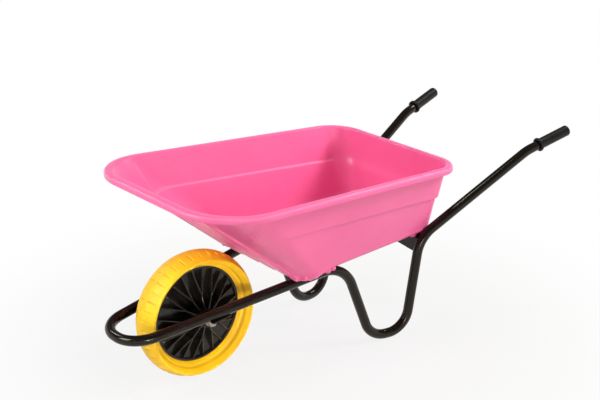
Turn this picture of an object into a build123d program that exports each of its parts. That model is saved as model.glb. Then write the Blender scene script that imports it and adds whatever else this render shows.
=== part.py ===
from build123d import *
from math import atan, cos, sin
import os

# Wheelbarrow with one wheel at the front, millimetres, +X forwards, +Y left, +Z up, standing on Z = 0.

# Frame tube
TUBE_OD = 28.5
TUBE_WALL = 1.5
WELD_GAP = 0.1
NOSE_X = 712.0
NOSE_HALF_WIDTH = 75.0
NOSE_Z = 183.0
NOSE_RADIUS = 80.0
FRONT_BEND = (64.5, 159.5, 272.0)
FRONT_BEND_RADIUS = 98.0
FOOT_FRONT_X = -42.0
FOOT_FRONT_HALF = 164.5
FOOT_FRONT_RADIUS = 78.0
FOOT_REAR_X = -163.0
FOOT_REAR_HALF = 183.5
FOOT_REAR_RADIUS = 68.0
REAR_BEND = (-196.5, 194.0, 295.0)
REAR_BEND_RADIUS = 94.0
HANDLE_BEND = (-570.5, 255.5, 502.0)
HANDLE_BEND_RADIUS = 155.0
GRIP_END = (-724.0, 279.0, 544.0)

# Grips
GRIP_LENGTH = 118.0
GRIP_OD = 32.5
GRIP_END_WALL = 4.0
GRIP_END_RADIUS = 6.0
GRIP_COLLAR_OD = 42.0
GRIP_COLLAR_WIDTH = 7.0
GRIP_FIT = 0.05

# Wheel
WHEEL_X = 459.0
TYRE_RADIUS = 178.0
TYRE_WIDTH = 88.0
TYRE_SEAT_RADIUS = 136.0
TYRE_SEAT_WIDTH = 22.0
SIDEWALL_GROOVE_START = 0.34
SIDEWALL_GROOVE_END = 0.62
SIDEWALL_GROOVE_DEPTH = 3.0
SHOULDER_RADIUS = 162.0
SHOULDER_ROUND = 4.0
TREAD_GROOVES = 40
TREAD_GROOVE_WIDTH = 5.0
TREAD_GROOVE_DEPTH = 4.0
TREAD_RIB_WIDTH = 26.0
HUB_RIM_WALL = 7.0
HUB_WEB = 5.0
HUB_BOSS_RADIUS = 25.0
HUB_BOSS_LENGTH = 96.0
SPOKES = 12
SPOKE_WIDTH = 4.0
SPOKE_FORK_RADIUS = 62.0
SPOKE_INNER_HEIGHT = 44.0
SPOKE_OUTER_HEIGHT = 10.0

# Axle and its bearings
AXLE_DIA = 16.0
AXLE_RUNNING_FIT = 0.05
AXLE_TAIL = 4.0
AXLE_CHAMFER = 1.5
BUSH_OD = 26.0
BUSH_LENGTH = 36.0
BUSH_FLANGE_OD = 36.0
BUSH_FLANGE = 3.0
WHEEL_SIDE_PLAY = 0.3
SPACER_LENGTH = 9.0
SPACER_OD = 24.0
AXLE_HOLE_PLAY = 0.2
AXLE_WASHER_OD = 30.0
AXLE_WASHER = 3.0
AXLE_NUT_FLATS = 24.0
AXLE_NUT = 13.0

# Axle brackets
BRACKET_PLATE = 4.0
BRACKET_LENGTH = 56.0
BRACKET_EYE_RADIUS = 20.0
BRACKET_OVERHANG = 14.0

# Tray
TRAY_WALL = 4.0
RIM_FRONT_X = 598.0
RIM_REAR_X = -274.0
RIM_FRONT_HALF = 302.0
RIM_REAR_HALF = 253.5
RIM_FRONT_Z = 554.5
RIM_REAR_Z = 519.0
RIM_FRONT_CORNER = 153.0
RIM_REAR_CORNER = 82.0
RIM_ROLL_WIDTH = 18.0
RIM_ROLL_DEPTH = 17.0
RIM_ROLL_RADIUS = 9.0
RIM_INNER_RADIUS = 6.0
BASE_FRONT_X = 244.0
BASE_REAR_X = -265.0
BASE_FRONT_HALF = 192.0
BASE_REAR_HALF = 180.0
BASE_FRONT_Z = 277.0
BASE_REAR_Z = 303.0
BASE_FRONT_CORNER = 62.0
BASE_REAR_CORNER = 45.0
BASE_EDGE_RADIUS = 20.0
LEDGE_DROP = 104.0
LEDGE_WIDTH = 5.0
CORRUGATIONS = 5
CORRUGATION_PITCH = 71.0
CORRUGATION_ROOT = 50.0
CORRUGATION_CREST = 36.0
CORRUGATION_HEIGHT = 7.0
CORRUGATION_TOP_GAP = 26.0

# Tray seat
STRAP_X = 163.0
STRAP_WIDTH = 26.0
STRAP_THICKNESS = 4.0
STRAP_HALF_LENGTH = 166.0
SEAT_RIB_WIDTH = 9.0
SEAT_RIB_RADIUS = 3.0
SEAT_RIB_HALF_LENGTH = 168.0
SEAT_RIBS_AHEAD = 3
SEAT_RIBS_BEHIND = 2
SEAT_RIB_PITCH = 17.5
REAR_SEAT_DEPTH = 6.0
REAR_RIB_PITCH = 32.0
BRACE_X = -191.0
BRACE_PLATE = 3.0
BRACE_FLANGE = 46.0
BRACE_END_Z = 248.0
BRACE_MIDDLE_Z = 265.0
BRACE_MIDDLE_HALF = 60.0

# Tray fixings
BOLT_DIA = 8.0
BOLT_HOLE_PLAY = 0.5
BOLT_HEAD_DIA = 20.0
BOLT_HEAD_HEIGHT = 5.0
BOLT_HEAD_RADIUS = 3.5
BOLT_TAIL = 3.0
BOLT_HALF_SPACING = 100.0
TRAY_WASHER_OD = 28.0
TRAY_WASHER = 2.0
LOWER_WASHER_OD = 17.0
LOWER_WASHER = 1.6
NUT_FLATS = 13.0
NUT_HEIGHT = 6.5
BOSS_RADIUS = 15.0

os.makedirs("parts", exist_ok=True)


def mirrored(point):
    """The same point on the right-hand side."""
    x, y, z = point
    return (x, -y, z)


def line_height(x, start, end):
    """Height at x of the straight line from start to end, both (x, z)."""
    slope = (end[1] - start[1]) / (end[0] - start[0])
    return start[1] + slope * (x - start[0])


def tilted_plane(x, start, end, lift=0.0):
    """Plane across the barrow along the line from start to end, both (x, z), lifted along its normal."""
    angle = atan((end[1] - start[1]) / (end[0] - start[0]))
    along = (cos(angle), 0, sin(angle))
    normal = (-sin(angle), 0, cos(angle))
    return Plane(origin=(x, 0, line_height(x, start, end)), x_dir=along, z_dir=normal).offset(lift)


def finish(piece, name):
    """Label a piece and write its STEP file."""
    piece.label = name
    export_step(piece, f"parts/{name}.step")


# Places shared by several pieces
tube_radius = TUBE_OD / 2
tube_outside = tube_radius + WELD_GAP
nose_corner = (NOSE_X, NOSE_HALF_WIDTH, NOSE_Z)
run_start = (NOSE_X, NOSE_Z)
run_end = (FRONT_BEND[0], FRONT_BEND[2])
run_rise = cos(atan((run_end[1] - run_start[1]) / (run_end[0] - run_start[0])))
wheel_centre = (WHEEL_X, 0, TYRE_RADIUS)
wheel_axis = Axis(wheel_centre, (0, 1, 0))
wheel_section = Plane(origin=wheel_centre, x_dir=(0, 1, 0), z_dir=(1, 0, 0))
wheel_face = Plane(origin=wheel_centre, x_dir=(-1, 0, 0), z_dir=(0, 1, 0))
base_start = (BASE_FRONT_X, BASE_FRONT_Z)
base_end = (BASE_REAR_X, BASE_REAR_Z)
rim_start = (RIM_FRONT_X, RIM_FRONT_Z)
rim_end = (RIM_REAR_X, RIM_REAR_Z)


# Frame tube, from the right grip round the nose to the left grip
grip_direction = (Vector(*GRIP_END) - Vector(*HANDLE_BEND)).normalized()
tube_end = Vector(*GRIP_END) - grip_direction * GRIP_END_WALL
left_points = [
    nose_corner,
    FRONT_BEND,
    (FOOT_FRONT_X, FOOT_FRONT_HALF, tube_radius),
    (FOOT_REAR_X, FOOT_REAR_HALF, tube_radius),
    REAR_BEND,
    HANDLE_BEND,
    tuple(tube_end),
]
left_radii = [
    NOSE_RADIUS,
    FRONT_BEND_RADIUS,
    FOOT_FRONT_RADIUS,
    FOOT_REAR_RADIUS,
    REAR_BEND_RADIUS,
    HANDLE_BEND_RADIUS,
]
frame_points = [mirrored(point) for point in reversed(left_points)] + left_points
frame_radii = left_radii[::-1] + left_radii

with BuildLine() as frame_path:
    FilletPolyline(*frame_points, radius=frame_radii)
frame_end_plane = Plane(origin=frame_path.line @ 0, z_dir=frame_path.line % 0)

with BuildPart() as frame_tube:
    with BuildSketch(frame_end_plane):
        Circle(tube_radius)
        Circle(tube_radius - TUBE_WALL, mode=Mode.SUBTRACT)
    sweep(path=frame_path.line)

with BuildPart() as tube_clearance:
    with BuildSketch(frame_end_plane):
        Circle(tube_outside)
    sweep(path=frame_path.line)
finish(frame_tube.part, "frame_tube")


# Tray outlines: the base, the ledge round the walls and the rim
def outline(front_x, rear_x, front_half, rear_half, front_corner, rear_corner):
    """Rounded tray outline, wider at the front."""
    corners = [(front_x, front_half), (rear_x, rear_half), (rear_x, -rear_half), (front_x, -front_half)]
    with BuildSketch() as shape:
        with BuildLine():
            FilletPolyline(*corners, radius=[front_corner, rear_corner, rear_corner, front_corner], close=True)
        make_face()
    return shape.sketch


def between(start, end, share):
    """Value a share of the way from start to end."""
    return start + (end - start) * share


rake_slope = (RIM_FRONT_Z - BASE_FRONT_Z) / (RIM_FRONT_X - BASE_FRONT_X)
rake = atan(rake_slope)
front_share = LEDGE_DROP / (RIM_FRONT_Z - BASE_FRONT_Z)
rear_share = LEDGE_DROP / (RIM_REAR_Z - BASE_REAR_Z)
ledge_front_x = between(RIM_FRONT_X, BASE_FRONT_X, front_share)
ledge_rear_x = between(RIM_REAR_X, BASE_REAR_X, rear_share)
ledge_front_half = between(RIM_FRONT_HALF, BASE_FRONT_HALF, front_share)
ledge_rear_half = between(RIM_REAR_HALF, BASE_REAR_HALF, rear_share)
ledge_front_corner = between(RIM_FRONT_CORNER, BASE_FRONT_CORNER, front_share)
ledge_rear_corner = between(RIM_REAR_CORNER, BASE_REAR_CORNER, rear_share)
ledge_start = (ledge_front_x, RIM_FRONT_Z - LEDGE_DROP)
ledge_end = (ledge_rear_x, RIM_REAR_Z - LEDGE_DROP)
base_plane = tilted_plane(0, base_start, base_end)
ledge_plane = tilted_plane(0, ledge_start, ledge_end)
rim_plane = tilted_plane(0, rim_start, rim_end)


def tray_tub(inset):
    """Tapering tub inside the outer walls by an inset, with the ledge as a step outwards."""
    front_inset = inset / sin(rake)
    step = LEDGE_WIDTH / 2
    with BuildPart() as lower:
        with BuildSketch(base_plane.offset(inset)):
            add(outline(
                BASE_FRONT_X - front_inset + inset / rake_slope,
                BASE_REAR_X + inset,
                BASE_FRONT_HALF - inset,
                BASE_REAR_HALF - inset,
                BASE_FRONT_CORNER - inset,
                BASE_REAR_CORNER - inset,
            ))
        with BuildSketch(ledge_plane.offset(inset)):
            add(outline(
                ledge_front_x - front_inset + inset / rake_slope,
                ledge_rear_x + inset + step,
                ledge_front_half - inset - step,
                ledge_rear_half - inset - step,
                ledge_front_corner - inset - step,
                ledge_rear_corner - inset - step,
            ))
        loft(ruled=True)
        fillet(lower.faces().sort_by(Axis.Z)[0].edges(), BASE_EDGE_RADIUS - inset)
    with BuildPart() as upper:
        with BuildSketch(ledge_plane.offset(inset)):
            add(outline(
                ledge_front_x - front_inset + inset / rake_slope,
                ledge_rear_x + inset - step,
                ledge_front_half - inset + step,
                ledge_rear_half - inset + step,
                ledge_front_corner - inset + step,
                ledge_rear_corner - inset + step,
            ))
        with BuildSketch(rim_plane):
            add(outline(
                RIM_FRONT_X - front_inset,
                RIM_REAR_X + inset,
                RIM_FRONT_HALF - inset,
                RIM_REAR_HALF - inset,
                RIM_FRONT_CORNER - inset,
                RIM_REAR_CORNER - inset,
            ))
        loft(ruled=True)
    with BuildPart() as tub:
        add(lower.part)
        add(upper.part)
    return tub.part


def rim_block(reach, drop, edge_radius):
    """Slab round the rim, reaching out from the tray wall and rounded along its top edge."""
    with BuildPart() as block:
        with BuildSketch(rim_plane.offset(-RIM_ROLL_DEPTH)):
            add(outline(
                RIM_FRONT_X + reach,
                RIM_REAR_X - reach,
                RIM_FRONT_HALF + reach,
                RIM_REAR_HALF + reach,
                RIM_FRONT_CORNER + reach,
                RIM_REAR_CORNER + reach,
            ))
        extrude(amount=RIM_ROLL_DEPTH - drop)
        fillet(block.faces().sort_by(Axis(rim_plane.origin, rim_plane.z_dir))[-1].edges(), edge_radius)
    return block.part


def corrugation_bars(inset):
    """Bars with sloping sides down the raked front, following its rounded corners."""
    length = (RIM_FRONT_X - BASE_FRONT_X) / cos(rake) - CORRUGATION_TOP_GAP
    up_slope = Vector(cos(rake), 0, sin(rake))
    bar_start = Vector(BASE_FRONT_X, 0, BASE_FRONT_Z) - up_slope * TRAY_WALL * 2
    root = CORRUGATION_ROOT - 2 * inset
    crest = CORRUGATION_CREST - 2 * inset
    depth = BASE_FRONT_CORNER / 2
    with BuildPart() as bars:
        with BuildSketch(Plane(origin=bar_start, x_dir=(0, 1, 0), z_dir=up_slope)):
            with BuildLine():
                Polyline(
                    (-root / 2, depth),
                    (root / 2, depth),
                    (root / 2, inset),
                    (crest / 2, inset - CORRUGATION_HEIGHT),
                    (-crest / 2, inset - CORRUGATION_HEIGHT),
                    (-root / 2, inset),
                    close=True,
                )
            bar = make_face(mode=Mode.PRIVATE)
            with GridLocations(CORRUGATION_PITCH, 1, CORRUGATIONS, 1):
                add(bar)
        extrude(amount=length)
        split(bisect_by=base_plane.offset(inset), keep=Keep.TOP)
        add(tray_tub(inset - CORRUGATION_HEIGHT), mode=Mode.INTERSECT)
    return bars.part


tray_outer = tray_tub(0)
tray_inner = tray_tub(TRAY_WALL)
rim_outer = rim_block(RIM_ROLL_WIDTH, 0, RIM_ROLL_RADIUS)
rim_hollow = rim_block(RIM_ROLL_WIDTH - TRAY_WALL, TRAY_WALL, RIM_ROLL_RADIUS - TRAY_WALL)

front_bars = corrugation_bars(0)
front_channels = corrugation_bars(TRAY_WALL)


# Seat of the tray: ribs on the two tubes and on the rear brace, bosses at the bolts
base_angle = atan((base_end[1] - base_start[1]) / (base_end[0] - base_start[0]))
base_section = Plane(origin=base_plane.origin, x_dir=base_plane.x_dir, z_dir=(0, -1, 0))


def along_base(x):
    """Distance along the sloping base to a place x."""
    return x / cos(base_angle)


def tube_top(x):
    """Height of the top of the straight tube run at x."""
    return line_height(x, run_start, run_end) + tube_outside / run_rise


strap_rear_x = STRAP_X - STRAP_WIDTH / 2
strap_drop = line_height(strap_rear_x, base_start, base_end) - tube_top(strap_rear_x) - STRAP_THICKNESS
front_ribs = [STRAP_X + STRAP_WIDTH / 2 + SEAT_RIB_PITCH * (i + 0.5) for i in range(SEAT_RIBS_AHEAD)]
front_ribs += [strap_rear_x - SEAT_RIB_PITCH * (i + 0.5) for i in range(SEAT_RIBS_BEHIND)]
rear_bolt_x = BRACE_X - BRACE_FLANGE / 2
rear_ribs = [rear_bolt_x - REAR_RIB_PITCH / 2, rear_bolt_x + REAR_RIB_PITCH / 2]
front_bolts = [(along_base(STRAP_X), side * BOLT_HALF_SPACING) for side in (1, -1)]
rear_bolts = [(along_base(rear_bolt_x), side * BOLT_HALF_SPACING) for side in (1, -1)]
bolt_places = front_bolts + rear_bolts
clamp_depths = [strap_drop + STRAP_THICKNESS] * 2 + [REAR_SEAT_DEPTH + BRACE_PLATE] * 2
bolt_hole = BOLT_DIA / 2 + BOLT_HOLE_PLAY

with BuildPart() as tray:
    add(rim_outer)
    add(rim_hollow, mode=Mode.SUBTRACT)
    add(tray_outer)
    add(front_bars)
    with BuildSketch(base_section) as seat_ribs:
        for x in front_ribs:
            depth = line_height(x, base_start, base_end) - tube_top(x - SEAT_RIB_WIDTH / 2)
            with Locations((along_base(x), -depth)):
                Rectangle(SEAT_RIB_WIDTH, depth + SEAT_RIB_RADIUS, align=(Align.CENTER, Align.MIN))
        for x in rear_ribs:
            with Locations((along_base(x), -REAR_SEAT_DEPTH)):
                Rectangle(SEAT_RIB_WIDTH, REAR_SEAT_DEPTH + SEAT_RIB_RADIUS, align=(Align.CENTER, Align.MIN))
        fillet(seat_ribs.vertices(), SEAT_RIB_RADIUS)
    extrude(amount=SEAT_RIB_HALF_LENGTH, both=True)
    with BuildSketch(base_plane.offset(-strap_drop)):
        with Locations(*front_bolts):
            Circle(BOSS_RADIUS)
    extrude(amount=strap_drop + TRAY_WALL / 2)
    with BuildSketch(base_plane.offset(-REAR_SEAT_DEPTH)):
        with Locations(*rear_bolts):
            Circle(BOSS_RADIUS)
    extrude(amount=REAR_SEAT_DEPTH + TRAY_WALL / 2)
    add(tray_inner, mode=Mode.SUBTRACT)
    add(front_channels, mode=Mode.SUBTRACT)
    with BuildSketch(base_plane.offset(TRAY_WALL)):
        with Locations(*bolt_places):
            Circle(bolt_hole)
    extrude(amount=-TRAY_WALL - REAR_SEAT_DEPTH - BRACE_PLATE, mode=Mode.SUBTRACT)
    rim_top = tray.faces().sort_by(Axis(rim_plane.origin, rim_plane.z_dir))[-1]
    fillet(rim_top.inner_wires()[0].edges(), RIM_INNER_RADIUS)
finish(tray.part, "tray")


# Flat strap across the tubes under the front of the tray
with BuildPart() as front_cross_strap:
    with BuildSketch(base_plane.offset(-strap_drop)):
        with Locations((along_base(STRAP_X), 0)):
            Rectangle(STRAP_WIDTH, 2 * STRAP_HALF_LENGTH)
        with Locations(*front_bolts):
            Circle(bolt_hole, mode=Mode.SUBTRACT)
    extrude(amount=-STRAP_THICKNESS)
finish(front_cross_strap.part, "front_cross_strap")


# Pressed brace between the rear bends, with a flange under the tray
brace_top = line_height(BRACE_X, base_start, base_end) - REAR_SEAT_DEPTH
brace_half = REAR_BEND[1] - WELD_GAP
with BuildPart() as rear_cross_brace:
    with BuildSketch(Plane(origin=(BRACE_X, 0, 0), x_dir=(0, 1, 0), z_dir=(1, 0, 0))):
        with BuildLine():
            Polyline(
                (-brace_half, brace_top - BRACE_PLATE / 2),
                (brace_half, brace_top - BRACE_PLATE / 2),
                (brace_half, BRACE_END_Z),
                (BRACE_MIDDLE_HALF, BRACE_MIDDLE_Z),
                (-BRACE_MIDDLE_HALF, BRACE_MIDDLE_Z),
                (-brace_half, BRACE_END_Z),
                close=True,
            )
        make_face()
    extrude(amount=-BRACE_PLATE)
    with BuildSketch(base_plane.offset(-REAR_SEAT_DEPTH)):
        with Locations((along_base(BRACE_X), 0)):
            Rectangle(BRACE_FLANGE, 2 * brace_half, align=(Align.MAX, Align.CENTER))
        with Locations(*rear_bolts):
            Circle(bolt_hole, mode=Mode.SUBTRACT)
    extrude(amount=-BRACE_PLATE)
    add(tube_clearance.part, mode=Mode.SUBTRACT)
finish(rear_cross_brace.part, "rear_cross_brace")


# Four tray bolts with their washers and nuts, square to the sloping base
with BuildPart() as tray_bolts:
    with BuildSketch(base_plane.offset(TRAY_WALL + TRAY_WASHER)):
        with Locations(*bolt_places):
            Circle(BOLT_HEAD_DIA / 2)
    extrude(amount=BOLT_HEAD_HEIGHT)
    head_tops = tray_bolts.faces().group_by(Axis(base_plane.origin, base_plane.z_dir))[-1]
    fillet(head_tops.edges(), BOLT_HEAD_RADIUS)
    for place, depth in zip(bolt_places, clamp_depths):
        with BuildSketch(base_plane.offset(TRAY_WALL + TRAY_WASHER)):
            with Locations(place):
                Circle(BOLT_DIA / 2)
        extrude(amount=-(TRAY_WALL + TRAY_WASHER + depth + LOWER_WASHER + NUT_HEIGHT + BOLT_TAIL))
finish(tray_bolts.part, "tray_bolts")

with BuildPart() as tray_washers:
    with BuildSketch(base_plane.offset(TRAY_WALL)):
        with Locations(*bolt_places):
            Circle(TRAY_WASHER_OD / 2)
            Circle(bolt_hole, mode=Mode.SUBTRACT)
    extrude(amount=TRAY_WASHER)
finish(tray_washers.part, "tray_washers")

with BuildPart() as tray_lower_washers:
    for place, depth in zip(bolt_places, clamp_depths):
        with BuildSketch(base_plane.offset(-depth)):
            with Locations(place):
                Circle(LOWER_WASHER_OD / 2)
                Circle(bolt_hole, mode=Mode.SUBTRACT)
        extrude(amount=-LOWER_WASHER)
finish(tray_lower_washers.part, "tray_lower_washers")

with BuildPart() as tray_nuts:
    for place, depth in zip(bolt_places, clamp_depths):
        with BuildSketch(base_plane.offset(-depth - LOWER_WASHER)):
            with Locations(place):
                RegularPolygon(NUT_FLATS / 2, 6, major_radius=False)
                Circle(BOLT_DIA / 2 + WELD_GAP, mode=Mode.SUBTRACT)
        extrude(amount=-NUT_HEIGHT)
finish(tray_nuts.part, "tray_nuts")


# Tyre with a hollowed sidewall and grooves across both shoulders
tyre_half = TYRE_WIDTH / 2
side_start = Vector(TYRE_SEAT_WIDTH / 2, TYRE_SEAT_RADIUS)
side_end = Vector(tyre_half - SHOULDER_ROUND, SHOULDER_RADIUS - SHOULDER_ROUND)
side_inwards = (side_end - side_start).normalized().rotate(Axis.Z, 90)
hollow_start = between(side_start, side_end, SIDEWALL_GROOVE_START)
hollow_end = between(side_start, side_end, SIDEWALL_GROOVE_END)
hollow_floor = between(hollow_start, hollow_end, 0.5) + side_inwards * SIDEWALL_GROOVE_DEPTH
crown_edge = Vector(tyre_half - SHOULDER_ROUND, SHOULDER_RADIUS + SHOULDER_ROUND)
with BuildPart() as tread_grooves:
    for side in (1, -1):
        with BuildSketch(wheel_face.offset(side * TREAD_RIB_WIDTH / 2)):
            with PolarLocations(TYRE_RADIUS, TREAD_GROOVES):
                Rectangle(2 * (TYRE_RADIUS - SHOULDER_RADIUS), TREAD_GROOVE_WIDTH)
        extrude(amount=side * tyre_half)
    with BuildSketch(wheel_section):
        with BuildLine():
            groove_edge = crown_edge - Vector(0, TREAD_GROOVE_DEPTH)
            TangentArc((0, TYRE_RADIUS - TREAD_GROOVE_DEPTH), groove_edge, tangent=(1, 0))
            Polyline(groove_edge, (groove_edge.X, TYRE_SEAT_RADIUS), (0, TYRE_SEAT_RADIUS))
            mirror(about=Plane.YZ)
        make_face()
    revolve(axis=wheel_axis, mode=Mode.SUBTRACT)

with BuildPart() as tyre:
    with BuildSketch(wheel_section):
        with BuildLine():
            Polyline((0, TYRE_SEAT_RADIUS), side_start, hollow_start)
            ThreePointArc(hollow_start, hollow_floor, hollow_end)
            Line(hollow_end, side_end)
            ThreePointArc(side_end, (tyre_half, SHOULDER_RADIUS), crown_edge)
            TangentArc((0, TYRE_RADIUS), crown_edge, tangent=(1, 0))
            mirror(about=Plane.YZ)
        make_face()
    revolve(axis=wheel_axis)
    add(tread_grooves.part, mode=Mode.SUBTRACT)
finish(tyre.part, "tyre")


# Wheel centre: rim, closed web, boss and forked spokes on both faces
hub_end = HUB_BOSS_LENGTH / 2
rim_inside = TYRE_SEAT_RADIUS - HUB_RIM_WALL
fork = Vector(SPOKE_FORK_RADIUS, 0)
prong = Vector(rim_inside + HUB_RIM_WALL / 2, 0)
prong_turn = 180 / SPOKES / 2
with BuildSketch() as spoke:
    with BuildLine():
        Line((HUB_BOSS_RADIUS - SPOKE_WIDTH, 0), fork)
        Line(fork, prong.rotate(Axis.Z, prong_turn))
        Line(fork, prong.rotate(Axis.Z, -prong_turn))
    trace(line_width=SPOKE_WIDTH)

with BuildPart() as wheel_hub:
    with BuildSketch(wheel_face):
        with PolarLocations(0, SPOKES):
            add(spoke.sketch)
    extrude(amount=SPOKE_INNER_HEIGHT, both=True)
    with BuildSketch(wheel_section):
        with BuildLine():
            Polyline(
                (0, 0),
                (SPOKE_INNER_HEIGHT, 0),
                (SPOKE_INNER_HEIGHT, HUB_BOSS_RADIUS),
                (SPOKE_OUTER_HEIGHT, rim_inside),
                (SPOKE_OUTER_HEIGHT, TYRE_SEAT_RADIUS - HUB_RIM_WALL / 2),
                (0, TYRE_SEAT_RADIUS - HUB_RIM_WALL / 2),
            )
            mirror(about=Plane.YZ)
        make_face()
    revolve(axis=wheel_axis, mode=Mode.INTERSECT)
    with BuildSketch(wheel_section):
        with Locations((0, rim_inside)):
            Rectangle(TYRE_SEAT_WIDTH, HUB_RIM_WALL, align=(Align.CENTER, Align.MIN))
        with Locations((0, HUB_BOSS_RADIUS / 2)):
            Rectangle(HUB_WEB, TYRE_SEAT_RADIUS - HUB_BOSS_RADIUS, align=(Align.CENTER, Align.MIN))
        Rectangle(HUB_BOSS_LENGTH, HUB_BOSS_RADIUS, align=(Align.CENTER, Align.MIN))
    revolve(axis=wheel_axis)
    with BuildSketch(wheel_face):
        Circle(BUSH_OD / 2)
    extrude(amount=hub_end, both=True, mode=Mode.SUBTRACT)
finish(wheel_hub.part, "wheel_hub")


# Flanged bushes pressed into both ends of the boss
bush_face = hub_end + BUSH_FLANGE
bush_bore = AXLE_DIA / 2 + AXLE_RUNNING_FIT
with BuildPart() as hub_bush_left:
    with BuildSketch(wheel_section):
        with BuildLine():
            Polyline(
                (bush_face, bush_bore),
                (bush_face, BUSH_FLANGE_OD / 2),
                (hub_end, BUSH_FLANGE_OD / 2),
                (hub_end, BUSH_OD / 2),
                (hub_end - BUSH_LENGTH, BUSH_OD / 2),
                (hub_end - BUSH_LENGTH, bush_bore),
                close=True,
            )
        make_face()
    revolve(axis=wheel_axis)
with BuildPart() as hub_bush_right:
    mirror(hub_bush_left.part, about=Plane.XZ)
finish(hub_bush_left.part, "hub_bush_left")
finish(hub_bush_right.part, "hub_bush_right")


# Spacers, brackets, washers and nuts in order along the axle
axle_hole = AXLE_DIA / 2 + AXLE_HOLE_PLAY
spacer_start = bush_face + WHEEL_SIDE_PLAY
bracket_start = spacer_start + SPACER_LENGTH
washer_start = bracket_start + BRACKET_PLATE
nut_start = washer_start + AXLE_WASHER
axle_half = nut_start + AXLE_NUT + AXLE_TAIL

with BuildPart() as axle:
    with BuildSketch(wheel_face):
        Circle(AXLE_DIA / 2)
    extrude(amount=axle_half, both=True)
    chamfer(axle.edges().filter_by(GeomType.CIRCLE), AXLE_CHAMFER)
finish(axle.part, "axle")

with BuildPart() as axle_spacer_left:
    with BuildSketch(wheel_face.offset(spacer_start)):
        Circle(SPACER_OD / 2)
        Circle(axle_hole, mode=Mode.SUBTRACT)
    extrude(amount=SPACER_LENGTH)
with BuildPart() as axle_spacer_right:
    mirror(axle_spacer_left.part, about=Plane.XZ)
finish(axle_spacer_left.part, "axle_spacer_left")
finish(axle_spacer_right.part, "axle_spacer_right")

bracket_front_x = WHEEL_X + BRACKET_LENGTH / 2
bracket_rear_x = WHEEL_X - BRACKET_LENGTH / 2
tube_half_width = line_height(WHEEL_X, (NOSE_X, NOSE_HALF_WIDTH), (FRONT_BEND[0], FRONT_BEND[1]))


def below_tube(x, drop):
    """Point in the wheel's side view, a drop below the underside of the tube run at x."""
    return (WHEEL_X - x, line_height(x, run_start, run_end) - tube_outside / run_rise - drop - TYRE_RADIUS)


flange_outline = [
    below_tube(bracket_front_x, 0),
    below_tube(bracket_rear_x, 0),
    below_tube(bracket_rear_x, BRACKET_PLATE),
    below_tube(bracket_front_x, BRACKET_PLATE),
]
with BuildPart() as axle_bracket_left:
    with BuildSketch(wheel_face.offset(bracket_start)):
        with BuildLine():
            Polyline(*flange_outline, close=True)
        make_face()
    extrude(amount=tube_half_width + BRACKET_OVERHANG - bracket_start)
    with BuildSketch(wheel_face.offset(bracket_start)) as leg:
        Circle(BRACKET_EYE_RADIUS)
        with BuildLine():
            Polyline(*flange_outline, close=True)
        make_face()
        make_hull(leg.edges())
        Circle(axle_hole, mode=Mode.SUBTRACT)
    extrude(amount=BRACKET_PLATE)
with BuildPart() as axle_bracket_right:
    mirror(axle_bracket_left.part, about=Plane.XZ)
finish(axle_bracket_left.part, "axle_bracket_left")
finish(axle_bracket_right.part, "axle_bracket_right")

with BuildPart() as axle_washers:
    with BuildSketch(wheel_face.offset(washer_start)):
        Circle(AXLE_WASHER_OD / 2)
        Circle(axle_hole, mode=Mode.SUBTRACT)
    extrude(amount=AXLE_WASHER)
    mirror(about=Plane.XZ)
finish(axle_washers.part, "axle_washers")

with BuildPart() as axle_nuts:
    with BuildSketch(wheel_face.offset(nut_start)):
        RegularPolygon(AXLE_NUT_FLATS / 2, 6, major_radius=False)
        Circle(AXLE_DIA / 2 + WELD_GAP, mode=Mode.SUBTRACT)
    extrude(amount=AXLE_NUT)
    mirror(about=Plane.XZ)
finish(axle_nuts.part, "axle_nuts")


# Grips: closed sleeves with a collar
grip_start = Vector(*GRIP_END) - grip_direction * GRIP_LENGTH
grip_plane = Plane(origin=grip_start, z_dir=grip_direction)
with BuildPart() as grip_left:
    with BuildSketch(grip_plane):
        Circle(GRIP_OD / 2)
    extrude(amount=GRIP_LENGTH)
    fillet(grip_left.faces().sort_by(Axis(grip_start, grip_direction))[-1].edges(), GRIP_END_RADIUS)
    with BuildSketch(grip_plane):
        Circle(GRIP_COLLAR_OD / 2)
    extrude(amount=GRIP_COLLAR_WIDTH)
    with BuildSketch(grip_plane):
        Circle(tube_radius + GRIP_FIT)
    extrude(amount=GRIP_LENGTH - GRIP_END_WALL, mode=Mode.SUBTRACT)
with BuildPart() as grip_right:
    mirror(grip_left.part, about=Plane.XZ)
finish(grip_left.part, "grip_left")
finish(grip_right.part, "grip_right")
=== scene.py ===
import bpy
import numpy as np
from mathutils import Matrix


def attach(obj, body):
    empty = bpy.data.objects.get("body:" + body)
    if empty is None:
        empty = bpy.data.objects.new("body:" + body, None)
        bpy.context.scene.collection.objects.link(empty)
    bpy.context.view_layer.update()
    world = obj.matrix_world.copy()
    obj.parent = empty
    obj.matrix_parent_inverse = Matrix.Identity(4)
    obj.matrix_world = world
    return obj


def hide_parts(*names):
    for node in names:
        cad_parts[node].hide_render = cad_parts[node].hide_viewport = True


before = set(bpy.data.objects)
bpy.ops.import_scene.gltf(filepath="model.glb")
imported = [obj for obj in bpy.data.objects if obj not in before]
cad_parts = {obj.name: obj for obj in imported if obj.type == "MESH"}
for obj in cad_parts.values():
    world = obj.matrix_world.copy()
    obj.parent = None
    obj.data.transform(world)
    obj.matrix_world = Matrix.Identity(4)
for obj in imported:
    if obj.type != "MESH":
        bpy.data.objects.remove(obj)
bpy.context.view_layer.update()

# Wheelbarrow with one wheel, millimetres, +X forwards, +Y left, +Z up, standing on Z = 0.
MM = 0.001

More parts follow.
